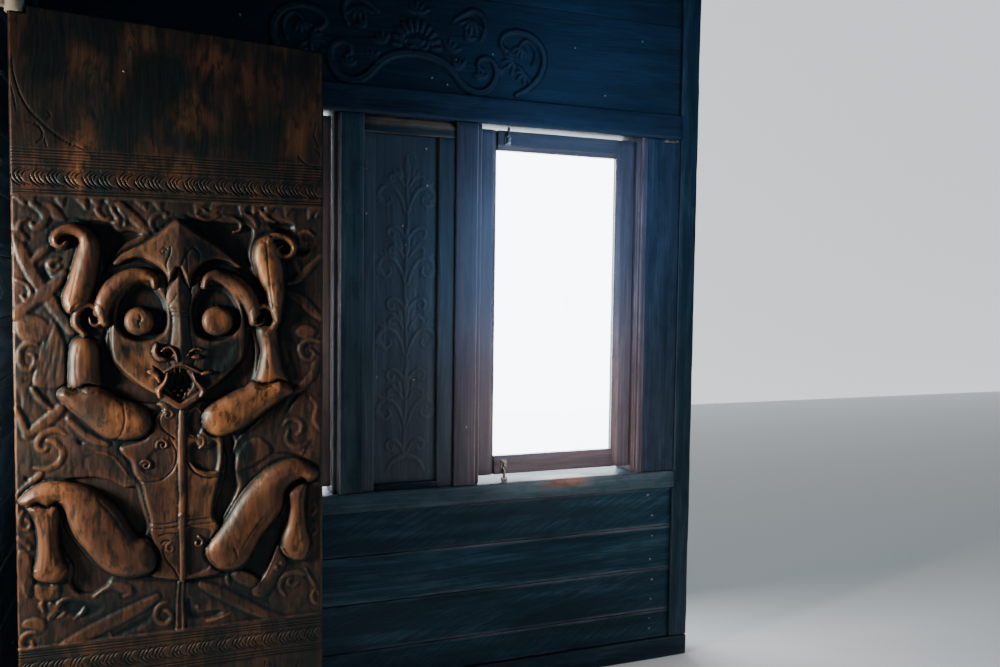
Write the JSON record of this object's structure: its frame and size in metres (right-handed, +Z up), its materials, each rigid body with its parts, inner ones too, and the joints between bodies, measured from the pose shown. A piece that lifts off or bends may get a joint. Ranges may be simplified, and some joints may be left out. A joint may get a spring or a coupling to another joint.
{
  "type": "carved timber house wall bay with window and pivoted door leaf",
  "caption": "Wall bay of a traditional timber house: plank wall, casements, carved panel and frieze, and a pivoted door leaf carved with a squatting guardian figure.",
  "frame": {"origin": "under the sole beam, at the middle of its length and of its thickness", "axes": "+X along the wall to the right seen from the room, +Y from the room outwards through the wall, +Z up"},
  "size_m": [2.364, 0.546, 2.68],
  "materials": {
    "dark_timber": "near-black stained timber with a brushed, weathered grain",
    "frame_timber": "dark brown stained timber, worn reddish on its edges",
    "carved_timber": "red-brown carved hardwood with a hand-rubbed shine on the raised figure",
    "pale_timber": "raw pale timber",
    "clear_glass": "clear window glass",
    "aged_iron": "dull aged iron"
  },
  "bodies": {
    "wall": {"sole_beam": "dark_timber", "top_plate": "dark_timber", "wall_plank_1": "dark_timber", "wall_plank_2": "dark_timber", "wall_plank_3": "dark_timber", "wall_plank_4": "dark_timber", "wall_plank_5": "dark_timber", "sill_rail": "dark_timber", "lintel_rail": "dark_timber", "corner_post_left": "dark_timber", "corner_post_right": "dark_timber", "inner_post_left": "frame_timber", "inner_post_right": "frame_timber", "outer_post_left": "frame_timber", "outer_post_right": "frame_timber", "end_panel_left": "dark_timber", "end_panel_right": "dark_timber", "panel_stile_left": "dark_timber", "panel_stile_right": "dark_timber", "panel_field": "dark_timber", "panel_bottom_rail": "dark_timber", "panel_top_rail": "dark_timber", "frieze_board": "dark_timber", "window_left_inner_stile": "frame_timber", "window_left_outer_stile": "frame_timber", "window_left_bottom_rail": "frame_timber", "window_left_top_rail": "frame_timber", "window_left_glass": "clear_glass", "window_left_bolt_low": "aged_iron", "window_left_bolt_high": "aged_iron", "window_right_inner_stile": "frame_timber", "window_right_outer_stile": "frame_timber", "window_right_bottom_rail": "frame_timber", "window_right_top_rail": "frame_timber", "window_right_glass": "clear_glass", "window_right_bolt_low": "aged_iron", "window_right_bolt_high": "aged_iron", "return_sole_beam": "dark_timber", "return_top_plate": "dark_timber", "return_wall": "dark_timber", "hinge_post": "dark_timber", "top_pivot_eye": "pale_timber", "bottom_pivot_block": "dark_timber"},
    "door": {"door_leaf": "carved_timber"}
  },
  "joints": [
    {"name": "door_swing", "type": "hinge", "parent": "wall", "child": "door", "pos_m": [-1.081, -0.418, 0], "axis": [0, 0, 1], "range_deg": [-90, 15]}
  ]
}
